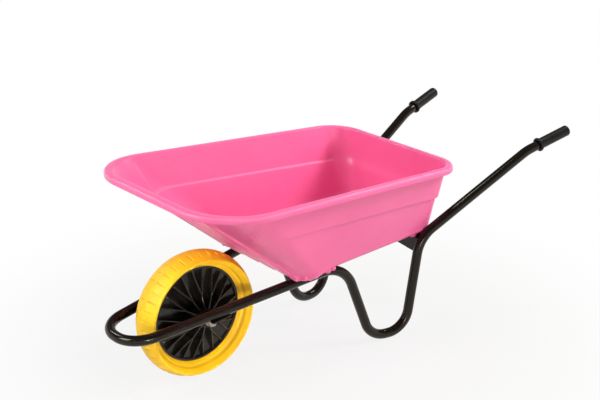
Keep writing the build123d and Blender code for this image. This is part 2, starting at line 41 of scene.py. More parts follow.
# Frame tube
TUBE_RADIUS = 14.25
NOSE_CORNER = (712.0, 75.0, 183.0)
FRONT_BEND = (64.5, 159.5, 272.0)
FOOT_FRONT = (-42.0, 164.5, TUBE_RADIUS)
FOOT_REAR = (-163.0, 183.5, TUBE_RADIUS)
REAR_BEND = (-196.5, 194.0, 295.0)
HANDLE_BEND = (-570.5, 255.5, 502.0)
GRIP_END = (-724.0, 279.0, 544.0)
BEND_RADII = (80.0, 98.0, 78.0, 68.0, 94.0, 155.0)

# Grips
GRIP_LENGTH = 118.0
GRIP_RADIUS = 16.25
GRIP_END_WALL = 4.0
TUBE_END_GAP = 0.5
GRIP_COLLAR_RADIUS = 21.0
GRIP_BORE_RADIUS = TUBE_RADIUS + 0.05
GRIP_END_ROUND = 6.0

# Wheel
WHEEL_X = 459.0
TYRE_RADIUS = 178.0
TYRE_HALF_WIDTH = 44.0
SEAT_RADIUS = 136.0
SEAT_HALF_WIDTH = 11.0
SHOULDER_RADIUS = 162.0
SHOULDER_ROUND = 4.0
SIDEWALL_HOLLOW = 3.0
SIDEWALL_HOLLOW_START = (0.30, 0.40)
SIDEWALL_HOLLOW_END = (0.56, 0.66)
TREAD_GROOVES = 40
TREAD_GROOVE_WIDTH = 4.4
TREAD_GROOVE_DEPTH = 2.6
TREAD_GROOVE_FLANK = 0.8
TREAD_RIB_EDGE = (6.0, 8.0)
TREAD_FADE = 18.0
# Painted shade: shares of the deeper orange laid in the tread grooves and in the sidewall hollow.
GROOVE_SHADE = 0.5
HOLLOW_SHADE = 0.75
HUB_RIM_INSIDE = 129.0
HUB_WEB_HALF = 2.5
HUB_BOSS_RADIUS = 25.0
HUB_BOSS_HALF = 48.0
BUSH_RADIUS = 13.0
SPOKES = 12
SPOKE_HALF_WIDTHS = (2.4, 2.1, 1.8)
SPOKE_FORK_RADIUS = 62.0
SPOKE_FORK_LAP = 1.5
SPOKE_FORK_TURN = 0.003
SPOKE_INNER_HEIGHT = 44.0
SPOKE_OUTER_HEIGHT = 10.0

# Tray
TRAY_WALL = 4.0
# Outlines: front x, rear x, half width in front, half width at the rear, front and rear corner radius.
RIM_OUTLINE = (598.0, -274.0, 302.0, 253.5, 153.0, 82.0)
RIM_HEIGHTS = (554.5, 519.0)
BASE_OUTLINE = (244.0, -265.0, 192.0, 180.0, 62.0, 45.0)
BASE_HEIGHTS = (277.0, 303.0)
BASE_SLOPE = (BASE_HEIGHTS[0] - BASE_HEIGHTS[1]) / (BASE_OUTLINE[0] - BASE_OUTLINE[1])
BASE_EDGE_RADIUS = 20.0
FLOOR_EDGE_REACH = 28.0
LEDGE_DROP = 104.0
LEDGE_HALF_WIDTH = 3.0
LEDGE_HALF_HEIGHT = 2.4
LEDGE_TAPER = 0.7
LEDGE_REAR_SPREAD = 7.0
PANEL_FRONT_X = 436.0
PANEL_FRONT_LEAN = 0.3
PANEL_EDGE_HALF = 2.0
# Points along half an outline: the front, its corner, the side, the rear corner and the rear.
FRONT_POINTS = 101
FRONT_CORNER_POINTS = 130
SIDE_POINTS = 40
REAR_CORNER_POINTS = 25
REAR_POINTS = 30
# Spans over which the wall turns to the raked front, to its corners and to the rear, and over which the
# painted highlight on the ledge fades off the sides onto the rear wall, by how squarely it faces
# forwards, or backwards for the last two.
RAKE_FACING = (0.35, 0.8)
CORNER_FACING = (0.0, 0.65)
REAR_FACING = (0.05, 0.75)
HIGHLIGHT_FACING = (0.05, 0.5)
# Rows of points up the wall: shares of the height below the ledge, half heights of the ledge from its
# middle, and shares of the height above it. Rows over the floor: shares of its width.
LOW_ROWS = (0.12, 0.2, 0.32, 0.45, 0.58, 0.7, 0.8, 0.88, 0.94)
LEDGE_ROWS = (-2.6, -1.5, -1.1, -0.8, -0.5, -0.2, 0.2, 0.5, 0.8, 1.1, 1.5, 2.6)
HIGH_ROWS = (0.12, 0.22, 0.34, 0.46, 0.56, 0.64, 0.7, 0.75, 0.79, 0.82, 0.85, 0.88)
FLOOR_ROWS = (0.25, 0.5, 0.75, 0.94)
THROAT_DROPS = (5.2, 7.0, 9.0)
RIM_INNER_RADIUS = 6.0
RIM_CORNER_EXTRA = 15.0
# Section of the rolled rim: distance out from the rim outline and height over it.
RIM_ROLL = (
    (4.0, 0.0), (7.0, 0.0), (9.0, 0.0), (11.3, -0.3), (13.5, -1.2), (15.36, -2.64), (16.8, -4.5),
    (17.7, -6.7), (18.0, -9.0), (18.0, -12.0), (18.0, -15.0), (17.7, -16.2), (16.9, -16.9), (16.0, -17.0),
    (15.1, -16.9), (14.3, -16.2), (14.0, -15.0), (14.0, -11.5), (14.0, -9.0), (13.4, -6.6), (11.5, -4.7),
    (9.0, -4.0), (5.0, -4.0), (1.5, -4.2),
)
RIM_ROLL_INSIDE = 14.2
# Painted highlight: paler pink on the crest of the rim's roll, along the ledge's crest and beside the
# pocket's front edge, where lamps would glint on rounded edges. Strengths, depth, width and fade.
RIM_HIGHLIGHT = 0.5
RIM_HIGHLIGHT_DEPTH = 3.5
LEDGE_HIGHLIGHT = 0.5
PANEL_EDGE_HIGHLIGHT = 0.6
PANEL_HIGHLIGHT_WIDTH = 3.0
PANEL_HIGHLIGHT_TOP = (30.0, 12.0)
RIBS = 5
RIB_PITCH = 71.0
RIB_ROOT = 50.0
RIB_CREST = 36.0
RIB_HEIGHT = 7.0
RIB_TOP_START = 20.0
RIB_TOP_FULL = 36.0
SEAT_RIB_PLACES = (219.75, 202.25, 184.75, 141.25, 123.75)
SEAT_RIB_HALF_WIDTH = 4.5
SEAT_RIB_HALF_LENGTH = 168.0
SEAT_RIB_END_ROUND = 3.0
SEAT_RIB_LAP = 2.0
SEAT_RIB_LEAST_HALF = 3.5
SEAT_GAP = 0.3
REAR_RIB_PLACES = (-198.0, -230.0)
REAR_SEAT_DEPTH = 6.0
SKIRT_DROP = 13.0
SKIRT_START_X = 118.0
SKIRT_FULL_X = 205.0
SKIRT_FACING = (0.1, 0.6)
# Lobes at the ends of the seat ribs: x, y of the left one, height of its lowest point.
LOBES = (
    (220.0, 174.0, 267.5),
    (202.5, 176.0, 264.5),
    (184.5, 176.5, 266.0),
    (142.0, 177.0, 269.5),
    (124.5, 177.0, 273.5),
)
REAR_LOBES = ((-198.0, 165.0, 288.5), (-229.0, 162.0, 290.5))
LOBE_HALF_WIDTH = 9.0
LOBE_HALF_DEPTH = 9.5
LOBE_SINK = 6.0
REAR_LOBE_SINK = 3.0
BOLT_PLACES = ((163.0, 100.0), (163.0, -100.0), (-214.0, 100.0), (-214.0, -100.0))
BOSS_RADIUS = 15.0
STRAP_X = 150.0
STRAP_THICKNESS = 4.0


# Surfaces

def unit(vectors):
    """Each vector divided by its length."""
    return vectors / np.linalg.norm(vectors, axis=-1, keepdims=True)


def ease(value, start, end):
    """Smooth rise from 0 at start to 1 at end: 3t squared less 2t cubed."""
    share = np.clip((value - start) / (end - start), 0.0, 1.0)
    return share * share * (3.0 - 2.0 * share)


def skin(grid, closed=False):
    """Quads between neighbouring rows and columns of a grid of points.

    Each row is a ring of points. The last row joins the first when closed is set, and otherwise a fan
    of triangles to the middle of each end row shuts the ends. The signed volume turns the faces outward.
    """
    rows, columns = grid.shape[:2]
    index = np.arange(rows * columns).reshape(rows, columns)
    points = grid.reshape(-1, 3)
    around = np.concatenate([index, index[:, :1]], axis=1)
    if closed:
        around = np.concatenate([around, around[:1]], axis=0)
    quads = np.stack([around[:-1, :-1], around[:-1, 1:], around[1:, 1:], around[1:, :-1]], axis=-1)
    quads = quads.reshape(-1, 4)
    fans = np.zeros((0, 3), dtype=int)
    if not closed:
        middles = np.stack([grid[0].mean(axis=0), grid[-1].mean(axis=0)])
        first, last = len(points), len(points) + 1
        points = np.concatenate([points, middles])
        start, end = around[0], around[-1]
        front = np.stack([np.full(len(start) - 1, first), start[1:], start[:-1]], axis=-1)
        back = np.stack([np.full(len(end) - 1, last), end[:-1], end[1:]], axis=-1)
        fans = np.concatenate([front, back])
    corners = np.concatenate([quads[:, :3], quads[:, [0, 2, 3]], fans])
    a, b, c = points[corners[:, 0]], points[corners[:, 1]], points[corners[:, 2]]
    if (a * np.cross(b, c)).sum() < 0:
        quads, fans = quads[:, ::-1], fans[:, ::-1]
    return points, quads, fans


def lay(name, shells, body, material, stands_for=(), shade=None):
    """One mesh from several shells, riding on a body and standing for the CAD nodes it replaces.

    shade, one number a point from 0 to 1, is painted light: painted shade in the tyre's grooves and
    sidewall hollow, painted highlight on the tray's rim and edges. It is kept as a point attribute for the
    material.
    """
    start = 0
    points, faces = [], []
    for shell_points, quads, fans in shells:
        points.append(shell_points)
        faces += (quads + start).tolist() + (fans + start).tolist()
        start += len(shell_points)
    mesh = bpy.data.meshes.new(name)
    mesh.from_pydata((np.concatenate(points) * MM).tolist(), [], faces)
    mesh.polygons.foreach_set("use_smooth", np.ones(len(mesh.polygons), dtype=bool))
    if shade is not None:
        painted_light_and_shade = mesh.attributes.new("painted_light_and_shade", "FLOAT", "POINT")
        painted_light_and_shade.data.foreach_set("value", shade.astype(np.float32))
    mesh.update()
    mesh.materials.append(material)
    piece = bpy.data.objects.new(name, mesh)
    bpy.context.scene.collection.objects.link(piece)
    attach(piece, body)
    if stands_for:
        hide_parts(*stands_for)
    return piece


def rounded_edge(corner, along, onward, radius, count):
    """Arc that rounds the corner between two directions, row by row, as a weighted parabola.

    along and onward point away from the corner. The weight, the sine of half the angle between them,
    makes the parabola a true arc of the radius, which starts radius / tan(half angle) from the corner.
    """
    half = np.arccos(np.clip((along * onward).sum(axis=-1), -1.0, 1.0))[..., None] / 2
    reach = radius / np.tan(half)
    weight = np.sin(half)
    first, last = corner + along * reach, corner + onward * reach
    t = np.linspace(0.0, 1.0, count)[:, None, None]
    ends = (1 - t) ** 2 * first + t ** 2 * last + 2 * weight * t * (1 - t) * corner
    return ends / ((1 - t) ** 2 + t ** 2 + 2 * weight * t * (1 - t))


def turned(profile, origin, axis, count):
    """Profile of (distance along the axis, radius) turned about the axis through origin."""
    axis = unit(np.array(axis, dtype=float))
    side = unit(np.cross(axis, (0.3, 0.1, 1.0)))
    across = np.cross(axis, side)
    angle = np.linspace(0.0, 2 * np.pi, count, endpoint=False)[None, :, None]
    along, radius = np.array(profile, dtype=float).T[:, :, None, None]
    return np.array(origin) + along * axis + radius * (np.cos(angle) * side + np.sin(angle) * across)


# Tray

def tray_outline(front_x, rear_x, front_half, rear_half, front_corner, rear_corner, heights):
    """Rounded outline of the tray, wider at the front, on a plane that tilts from front to rear.

    From the middle of the front: straight to the corner, an arc, straight along the side, an arc,
    straight to the middle of the rear, and the same mirrored. Gives places and outward directions.
    """
    side = unit(np.array([rear_x - front_x, rear_half - front_half]))
    side_turn = np.arctan2(-side[0], side[1])
    front_reach = front_corner * np.tan(side_turn / 2)
    rear_reach = rear_corner * np.tan((np.pi - side_turn) / 2)
    front_centre = np.array([front_x - front_corner, front_half - front_reach])
    rear_centre = np.array([rear_x + rear_corner, rear_half - rear_reach])
    front_turns = side_turn * np.linspace(0.0, 1.0, FRONT_CORNER_POINTS + 1)[1:] ** 1.1
    rear_turns = side_turn + (np.pi - side_turn) * np.linspace(0.0, 1.0, REAR_CORNER_POINTS)
    front_y = np.linspace(0.0, front_centre[1], FRONT_POINTS)
    front = np.stack([np.full(FRONT_POINTS, front_x), front_y], axis=-1)
    front_arc = front_centre + front_corner * np.stack([np.cos(front_turns), np.sin(front_turns)], axis=-1)
    rear_arc = rear_centre + rear_corner * np.stack([np.cos(rear_turns), np.sin(rear_turns)], axis=-1)
    share = np.linspace(0.0, 1.0, SIDE_POINTS + 2)[1:-1, None]
    side_run = front_arc[-1] * (1 - share) + rear_arc[0] * share
    rear_y = np.linspace(rear_centre[1], 0.0, REAR_POINTS + 1)[1:]
    rear = np.stack([np.full(REAR_POINTS, rear_x), rear_y], axis=-1)
    turns = np.concatenate([
        np.zeros(FRONT_POINTS), front_turns, np.full(SIDE_POINTS, side_turn),
        rear_turns, np.full(REAR_POINTS, np.pi),
    ])
    half = np.concatenate([front, front_arc, side_run, rear_arc, rear])
    outward = np.stack([np.cos(turns), np.sin(turns), np.zeros(len(turns))], axis=-1)
    tilt = np.arctan((heights[0] - heights[1]) / (front_x - rear_x))
    middle = heights[0] - np.tan(tilt) * front_x
    places = np.stack([
        half[:, 0] * np.cos(tilt), half[:, 1], middle + half[:, 0] * np.sin(tilt),
    ], axis=-1)
    flip = np.array([1.0, -1.0, 1.0])
    return (
        np.concatenate([places, places[-2:0:-1] * flip]),
        np.concatenate([outward, outward[-2:0:-1] * flip]),
    )


def rib_wave(across, inset):
    """1 on the crest of a front rib and 0 beside it, eased over its sloping flanks."""
    nearest = np.clip(np.round(across / RIB_PITCH), -(RIBS // 2), RIBS // 2)
    off = np.abs(across - nearest * RIB_PITCH)
    return 1.0 - ease(off, RIB_CREST / 2 - inset, RIB_ROOT / 2 - inset)


def tray_shell():
    """The moulded tub as one closed skin: outline round by profile up the inside and down the outside.

    A wall point lies a share of the way from the base outline to the rim outline, moved out by an
    offset times the lean of the wall, so that the wall keeps its thickness. The ledge shifts the offset
    from minus to plus half its width; the raked front adds the ribs in place of the ledge. Arcs round
    the edges of the floor, the base and the mouth, the floor and the underside shrink their outline to
    its middle, and the section of the rolled rim is carried round the rim outline. The bottom edge hangs
    lower round the front corners. Gives the skin, and the painted highlight on its inner edges and on
    its rim, paler pink where lamps would glint.
    """
    base, base_outward = tray_outline(*BASE_OUTLINE, BASE_HEIGHTS)
    rim, rim_outward = tray_outline(*RIM_OUTLINE, RIM_HEIGHTS)
    outward = unit(base_outward + rim_outward)
    up = np.array([0.0, 0.0, 1.0])
    height = (rim - base)[:, 2:]
    run = ((rim - base) * outward).sum(axis=1, keepdims=True) / height
    lean = np.sqrt(1 + run ** 2)
    facing = outward[:, :1]
    raked = ease(facing, *RAKE_FACING)
    turning = ease(facing, *CORNER_FACING)
    ledge = height - LEDGE_DROP
    slope_length = np.linalg.norm(rim - base, axis=1, keepdims=True)

    def wall(level, inset):
        """Wall at a height over the base, inside the outer face by an inset, with its painted highlight."""
        place = base + (rim - base) * level / height
        over = level - ledge - inset
        low = -LEDGE_HALF_WIDTH * (1 - turning) * np.clip(level / ledge, 0.0, 1.0)
        front = PANEL_FRONT_X + PANEL_FRONT_LEAN * over
        panel = 1 - ease(place[:, :1], front - PANEL_EDGE_HALF, front + PANEL_EDGE_HALF)
        taper = np.clip((height - level) / LEDGE_DROP, 0.0, 1.0) ** LEDGE_TAPER
        high = (LEDGE_HALF_WIDTH + LEDGE_HALF_WIDTH * turning) * panel * taper
        rise = LEDGE_HALF_HEIGHT * (1 + LEDGE_REAR_SPREAD * ease(-facing, *REAR_FACING) * (inset > 0))
        shift = low + (high - low) * ease(over, -rise, rise)
        left = slope_length * (1 - level / height)
        rib = rib_wave(place[:, 1:2], inset) * raked * ease(left, RIB_TOP_START, RIB_TOP_FULL)
        # Painted highlight, on the inner face only: paler pink along the ledge's crest, faded off the rear
        # wall, and beside the pocket's front edge, faded out near the rim.
        on_side = 1 - ease(-facing, *HIGHLIGHT_FACING)
        ledge_highlight = LEDGE_HIGHLIGHT * np.exp(-(over / LEDGE_HALF_HEIGHT) ** 2) * panel * on_side
        below_rim = 1 - ease(height - level, *PANEL_HIGHLIGHT_TOP)
        past_edge = (place[:, :1] - front - PANEL_HIGHLIGHT_WIDTH) / PANEL_HIGHLIGHT_WIDTH
        over_ledge = ease(over, -PANEL_EDGE_HALF, PANEL_EDGE_HALF)
        panel_edge_highlight = PANEL_EDGE_HIGHLIGHT * np.exp(-past_edge ** 2) * over_ledge * below_rim
        painted_highlight = np.maximum(ledge_highlight, panel_edge_highlight) * (inset > 0)
        return np.concatenate([place + outward * lean * (shift - inset + RIB_HEIGHT * rib), painted_highlight], axis=1)

    def rib_shift(inset):
        """How far the ribs of the raked front push the edge of the base out."""
        return outward * lean * RIB_HEIGHT * rib_wave(base[:, 1:2], inset) * raked

    up_wall = unit(outward * run + up)
    low, lip, high = (np.array(rows)[:, None, None] for rows in (LOW_ROWS, LEDGE_ROWS, HIGH_ROWS))

    def climb(inset):
        """Rows up one face of the wall, from over the base edge to under the rim."""
        rows = [wall(level, inset) for level in ledge * (low[3:] if inset else low)]
        rows += [wall(level, inset) for level in ledge + inset + LEDGE_HALF_HEIGHT * lip]
        rows += [wall(level, inset) for level in ledge + LEDGE_DROP * high]
        return np.stack(rows)

    inward = -unit(outward + up * BASE_SLOPE * facing)
    floor_corner = base - inward * TRAY_WALL * (run - lean) + up * TRAY_WALL
    floor_radius = FLOOR_EDGE_REACH * np.tan(np.pi / 4 + np.arctan(run) / 2)
    floor_edge = rounded_edge(floor_corner, inward, up_wall, floor_radius, 13) + rib_shift(TRAY_WALL)
    under_edge = rounded_edge(base, up_wall, inward, BASE_EDGE_RADIUS, 11) + rib_shift(0.0)
    aside = ease(np.abs(outward[:, 1:2]), *SKIRT_FACING)
    hang = ease(base[:, :1], SKIRT_START_X, SKIRT_FULL_X) * aside
    hang_share = ease(np.linspace(0.0, 1.0, 11), 0.0, 0.5)[:, None, None]
    under_edge = under_edge - up * SKIRT_DROP * hang * hang_share
    middle = (base[0] + base[len(base) // 2]) / 2
    shrink = np.array(FLOOR_ROWS)[:, None, None]
    floor_rim = rounded_edge(floor_corner, inward, up_wall, floor_radius, 2)[0]
    under_rim = rounded_edge(base, up_wall, inward, BASE_EDGE_RADIUS, 2)[1]
    floor = middle + up * TRAY_WALL + (floor_rim - middle - up * TRAY_WALL) * shrink
    under = middle + (under_rim - middle) * shrink[::-1]
    mouth_corner = rim - outward * lean * TRAY_WALL
    mouth_radius = RIM_INNER_RADIUS + RIM_CORNER_EXTRA * turning
    mouth = rounded_edge(mouth_corner, -up_wall, outward, mouth_radius, 10)
    roll_out, roll_up = np.array(RIM_ROLL).T[:, :, None, None]
    brim = rim + outward * roll_out + up * roll_up
    throat = np.stack([wall(height - drop, 0.0) for drop in THROAT_DROPS])
    # No painted highlight on these rows, apart from the crest of the rim's roll below.
    unhighlighted = [
        np.concatenate([part, np.zeros_like(part[..., :1])], axis=-1)
        for part in (floor, floor_edge, mouth, brim, under_edge, under)
    ]
    floor, floor_edge, mouth, brim, under_edge, under = unhighlighted
    # Painted highlight on the crest of the rim's roll.
    rim_highlight = np.exp(-((roll_up + RIM_HIGHLIGHT_DEPTH) / RIM_HIGHLIGHT_DEPTH) ** 2) * (roll_out > RIM_ROLL_INSIDE)
    brim[:, :, 3:] = RIM_HIGHLIGHT * rim_highlight
    rows = np.concatenate([
        floor, floor_edge, climb(TRAY_WALL), mouth, brim, throat, climb(0.0)[::-1], under_edge, under,
    ])
    return skin(rows[..., :3]), np.concatenate([rows[..., 3].ravel(), [0.0, 0.0]])


def base_height(x):
    """Height of the flat underside of the tray at x."""
    front_x, rear_x = BASE_OUTLINE[:2]
    return BASE_HEIGHTS[0] + (BASE_HEIGHTS[1] - BASE_HEIGHTS[0]) * (x - front_x) / (rear_x - front_x)


def tube_height(x):
    """Height at x just over the straight front run of the tube, where the seat ribs end."""
    slope = (NOSE_CORNER[2] - FRONT_BEND[2]) / (NOSE_CORNER[0] - FRONT_BEND[0])
    return FRONT_BEND[2] + slope * (x - FRONT_BEND[0]) + TUBE_RADIUS * np.sqrt(1 + slope ** 2) + SEAT_GAP


def seat_rib(x, depth):
    """Rounded bar under the base: a squared-off oval carried across the tray, drawn in at both ends."""
    half_tall = (depth + SEAT_RIB_LAP) / 2
    turn = np.linspace(0.0, 2 * np.pi, 32, endpoint=False)
    wide = np.sign(np.cos(turn)) * np.abs(np.cos(turn)) ** 0.5 * SEAT_RIB_HALF_WIDTH
    tall = np.sign(np.sin(turn)) * np.abs(np.sin(turn)) ** 0.5 * half_tall
    end = np.linspace(0.0, np.pi / 2, 8)
    inset = SEAT_RIB_END_ROUND * (1 - np.sin(end))
    first_run = SEAT_RIB_END_ROUND * (1 - np.cos(end)) - SEAT_RIB_HALF_LENGTH
    run = np.concatenate([first_run, -first_run[::-1]])
    draw = np.concatenate([inset, inset[::-1]])
    draw_wide = 1 - draw[:, None] / SEAT_RIB_HALF_WIDTH
    draw_tall = 1 - draw[:, None] / max(half_tall, SEAT_RIB_LEAST_HALF)
    middle = base_height(x) + SEAT_RIB_LAP / 2 - depth / 2
    rows = np.stack([
        x + wide * draw_wide,
        np.broadcast_to(run[:, None], (len(run), len(turn))),
        middle + tall * draw_tall,
    ], axis=-1)
    return skin(rows)


def seat_lobe(x, y, low, sink, side):
    """Rounded end of a seat rib beside the tube: a squared-off egg stretched down from the base."""
    turn = np.linspace(0.0, 2 * np.pi, 40, endpoint=False)[None]
    rise = np.linspace(-np.pi / 2, np.pi / 2, 21)[1:-1, None]
    ring = np.cos(rise) ** 0.45
    tall = (base_height(x) + sink - low) / 2
    rows = np.stack([
        x + LOBE_HALF_WIDTH * ring * np.sign(np.cos(turn)) * np.abs(np.cos(turn)) ** 0.8,
        side * (y + LOBE_HALF_DEPTH * ring * np.sign(np.sin(turn)) * np.abs(np.sin(turn)) ** 0.8),
        np.broadcast_to(low + tall + tall * np.sin(rise), (len(rise), turn.shape[1])),
    ], axis=-1)
    return skin(rows)


def bolt_boss(x, y, depth):
    """Round pad under a bolt, turned square to the sloping base with a rounded lower edge."""
    profile = [
        (2.0, BOSS_RADIUS),
        (-depth + 0.8, BOSS_RADIUS),
        (-depth + 0.2, BOSS_RADIUS - 0.3),
        (-depth, BOSS_RADIUS - 1.0),
    ]
    return skin(turned(profile, (x, y, base_height(x)), (-BASE_SLOPE, 0.0, 1.0), 48))


# Frame tube

def bent_path(points, radii, arc_steps):
    """Line through straight runs whose corners are rounded to the bend radii."""
    points = np.array(points)
    first, corner, last = points[:-2], points[1:-1], points[2:]
    back, onward = unit(first - corner), unit(last - corner)
    t = np.linspace(0.0, 1.0, arc_steps)[:, None, None]
    half = np.arccos((back * onward).sum(axis=-1))[:, None] / 2
    reach = np.array(radii)[:, None] / np.tan(half)
    centre = corner + unit(back + onward) * np.array(radii)[:, None] / np.sin(half)
    start, end = corner + back * reach - centre, corner + onward * reach - centre
    sweep = np.pi - 2 * half
    arcs = centre + (start * np.sin((1 - t) * sweep) + end * np.sin(t * sweep)) / np.sin(sweep)
    line = arcs.transpose(1, 0, 2).reshape(-1, 3)
    return np.concatenate([points[:1], line, points[-1:]])


def tube_along(path, radius, count):
    """Circle of the radius carried along the path, square to it."""
    ahead = unit(np.gradient(path, axis=0))
    steps = unit(np.diff(path, axis=0))
    ahead[0], ahead[-1] = steps[0], steps[-1]
    side = unit(np.cross(ahead, (0.0, 0.7071, 0.7071)))
    across = np.cross(ahead, side)
    angle = np.linspace(0.0, 2 * np.pi, count, endpoint=False)[None, :, None]
    return path[:, None] + radius * (np.cos(angle) * side[:, None] + np.sin(angle) * across[:, None])


def frame_line():
    """The tube's middle line from the right grip round the nose to the left grip."""
    grip = unit(np.array(GRIP_END) - np.array(HANDLE_BEND))
    tube_end = np.array(GRIP_END) - grip * (GRIP_END_WALL + TUBE_END_GAP)
    left = np.array([NOSE_CORNER, FRONT_BEND, FOOT_FRONT, FOOT_REAR, REAR_BEND, HANDLE_BEND, tube_end])
    right = left[::-1] * np.array([1.0, -1.0, 1.0])
    return bent_path(np.concatenate([right, left]), BEND_RADII[::-1] + BEND_RADII, 28)


def grip_skin(side):
    """Sleeve turned about the end of the tube, with a rounded collar, a soft closed end and a blind bore."""
    flip = np.array([1.0, side, 1.0])
    direction = unit(np.array(GRIP_END) - np.array(HANDLE_BEND)) * flip
    start = np.array(GRIP_END) * flip - direction * GRIP_LENGTH
    bore = [(GRIP_LENGTH - GRIP_END_WALL, GRIP_BORE_RADIUS), (0.0, GRIP_BORE_RADIUS)]
    collar = [
        (0.0, 19.0), (0.4, 20.2), (1.4, 20.9), (2.6, GRIP_COLLAR_RADIUS), (5.0, GRIP_COLLAR_RADIUS),
        (6.0, 20.8), (6.8, 20.0), (7.2, 18.9), (7.8, 17.6), (9.0, 16.7), (11.0, GRIP_RADIUS),
    ]
    body = [(40.0, GRIP_RADIUS), (80.0, GRIP_RADIUS)]
    turn = np.linspace(0.0, np.pi / 2, 12)
    end_along = GRIP_LENGTH - GRIP_END_ROUND + GRIP_END_ROUND * np.sin(turn)
    end_radius = GRIP_RADIUS - GRIP_END_ROUND + GRIP_END_ROUND * np.cos(turn)
    end = list(zip(end_along, end_radius))
    return skin(turned(bore + collar + body + end, start, direction, 64))


# Wheel

def tyre_skin():
    """Tyre: angle round the axle by its section, with the tread cut by grooves across both shoulders.

    The section goes from the seat up a straight side with one hollow, round the shoulder and over a
    crown that is an arc. A groove lowers the radius by its depth where its eased width across the angle
    meets the tread outside the middle rib, and fades towards the shoulder. Gives the skin and the painted
    shade of each point, deeper orange in the grooves and the sidewall hollow.
    """
    half = TYRE_HALF_WIDTH - SHOULDER_ROUND
    side_rise = SHOULDER_RADIUS - SHOULDER_ROUND - SEAT_RADIUS
    share = np.linspace(0.0, 1.0, 26)
    hollow = ease(share, *SIDEWALL_HOLLOW_START) * (1 - ease(share, *SIDEWALL_HOLLOW_END))
    square = unit(np.array([side_rise, SEAT_HALF_WIDTH - half]))
    side_y = SEAT_HALF_WIDTH + (half - SEAT_HALF_WIDTH) * share - square[0] * SIDEWALL_HOLLOW * hollow
    side_r = SEAT_RADIUS + side_rise * share - square[1] * SIDEWALL_HOLLOW * hollow
    bend = np.linspace(-np.pi / 2, np.pi / 2, 11)[1:]
    shoulder_y = half + SHOULDER_ROUND * np.cos(bend)
    shoulder_r = SHOULDER_RADIUS + SHOULDER_ROUND * np.sin(bend)
    drop = TYRE_RADIUS - SHOULDER_RADIUS - SHOULDER_ROUND
    crown = (half ** 2 + drop ** 2) / (2 * drop)
    crown_y = np.concatenate([
        np.linspace(half, 12.0, 19)[1:], np.linspace(12.0, 5.0, 9)[1:], np.linspace(5.0, 0.0, 4)[1:],
    ])
    crown_r = TYRE_RADIUS - crown + np.sqrt(crown ** 2 - crown_y ** 2)
    y = np.concatenate([[0.0], side_y, shoulder_y, crown_y])
    r = np.concatenate([[SEAT_RADIUS], side_r, shoulder_r, crown_r])
    dip = np.concatenate([[0.0], hollow, np.zeros(len(shoulder_y) + len(crown_y))])
    y = np.concatenate([y, -y[-2:0:-1]])
    r = np.concatenate([r, r[-2:0:-1]])
    dip = np.concatenate([dip, dip[-2:0:-1]])
    inside_pitch = np.concatenate([np.linspace(-0.16, 0.16, 11), np.linspace(0.16, 0.84, 5)[1:-1]])
    pitch = 2 * np.pi / TREAD_GROOVES
    angle = (np.arange(TREAD_GROOVES)[:, None] + inside_pitch[None]).ravel() * pitch
    off = np.abs((angle / pitch + 0.5) % 1.0 - 0.5) * pitch * TYRE_RADIUS
    groove_half = TREAD_GROOVE_WIDTH / 2
    cut_angle = 1 - ease(off, groove_half - TREAD_GROOVE_FLANK, groove_half + TREAD_GROOVE_FLANK)
    cut_start = ease(np.abs(y), *TREAD_RIB_EDGE)
    cut_fade = 1 - ease(np.abs(y), TREAD_FADE, half)
    cut_section = cut_start * cut_fade * (r > SHOULDER_RADIUS)
    cut = cut_angle[None] * cut_section[:, None]
    radius = r[:, None] - TREAD_GROOVE_DEPTH * cut
    grid = np.stack([
        WHEEL_X + radius * np.cos(angle)[None],
        np.broadcast_to(y[:, None], radius.shape),
        TYRE_RADIUS + radius * np.sin(angle)[None],
    ], axis=-1)
    # Painted shade in the grooves and the sidewall hollow.
    painted_light_and_shade = np.clip(GROOVE_SHADE * cut + HOLLOW_SHADE * dip[:, None], 0.0, 1.0)
    return skin(grid, closed=True), painted_light_and_shade.ravel()


def hub_turnings():
    """Rim, web and boss of the wheel centre, turned about the axle with rounded edges."""
    rim = [
        (0.0, HUB_RIM_INSIDE), (8.5, HUB_RIM_INSIDE), (10.0, HUB_RIM_INSIDE + 0.4),
        (10.8, HUB_RIM_INSIDE + 1.4), (11.0, HUB_RIM_INSIDE + 3.0), (11.0, SEAT_RADIUS - 1.0),
        (10.8, SEAT_RADIUS - 0.3), (10.2, SEAT_RADIUS - 0.05), (0.0, SEAT_RADIUS - 0.05),
    ]
    rim += [(-along, radius) for along, radius in rim[-2:0:-1]]
    web = [
        (HUB_WEB_HALF, BUSH_RADIUS + 2.0), (HUB_WEB_HALF, 60.0), (HUB_WEB_HALF, 124.0),
        (HUB_WEB_HALF + 0.6, 127.0), (HUB_WEB_HALF + 2.0, 129.5),
    ]
    web += [(-along, radius) for along, radius in web[::-1]]
    boss = [
        (-HUB_BOSS_HALF, BUSH_RADIUS), (-HUB_BOSS_HALF, HUB_BOSS_RADIUS - 2.0),
        (-HUB_BOSS_HALF + 0.6, HUB_BOSS_RADIUS - 0.6), (-HUB_BOSS_HALF + 2.0, HUB_BOSS_RADIUS),
        (-20.0, HUB_BOSS_RADIUS + 0.6), (0.0, HUB_BOSS_RADIUS + 1.0),
    ]
    boss += [(-along, radius) for along, radius in boss[-2::-1]]
    place = (WHEEL_X, 0.0, TYRE_RADIUS)
    axle = (0.0, 1.0, 0.0)
    return [skin(turned(profile, place, axle, 144), closed=True) for profile in (rim, web, boss)]


def spoke_height(radius):
    """Height of the spokes over the middle of the wheel, falling in a straight line from boss to rim."""
    share = (radius - HUB_BOSS_RADIUS) / (HUB_RIM_INSIDE - HUB_BOSS_RADIUS)
    return SPOKE_INNER_HEIGHT + (SPOKE_OUTER_HEIGHT - SPOKE_INNER_HEIGHT) * np.clip(share, 0.0, 1.0)


